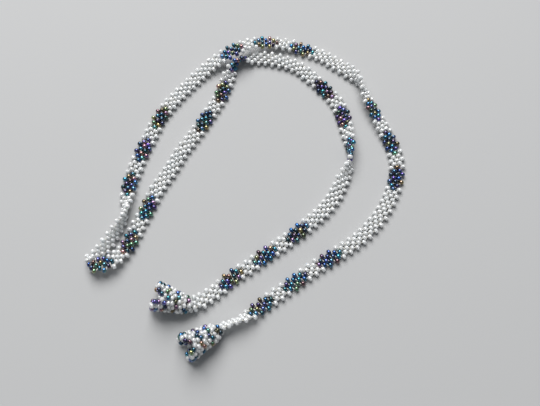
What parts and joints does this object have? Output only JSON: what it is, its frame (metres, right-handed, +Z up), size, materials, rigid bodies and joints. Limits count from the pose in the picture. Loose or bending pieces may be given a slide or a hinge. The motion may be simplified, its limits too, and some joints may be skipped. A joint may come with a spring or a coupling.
{
  "type": "seed bead necklace",
  "caption": "Long flat woven seed bead necklace lying doubled, with a small petal-edged bead bell at each free end.",
  "frame": {"origin": "on the table, under the middle of the necklace's box as it lies", "axes": "+Z up from the table, +Y away from the viewer towards the bend of the loop, +X to the viewer's right"},
  "size_m": [0.1281, 0.1413, 0.0128],
  "materials": {
    "pearl_beads": "milky white glass seed beads with a soft pearl lustre",
    "iris_beads": "near-black glass seed beads with a metallic blue, purple, green and gold sheen that differs from bead to bead",
    "mixed_beads": "rings of the white beads with every third ring of the dark iris beads",
    "thread": "fine cream beading thread"
  },
  "bodies": {
    "root": {"first_band": "pearl_beads", "second_band": "pearl_beads", "first_bell": "mixed_beads", "second_bell": "mixed_beads"}
  },
  "joints": []
}
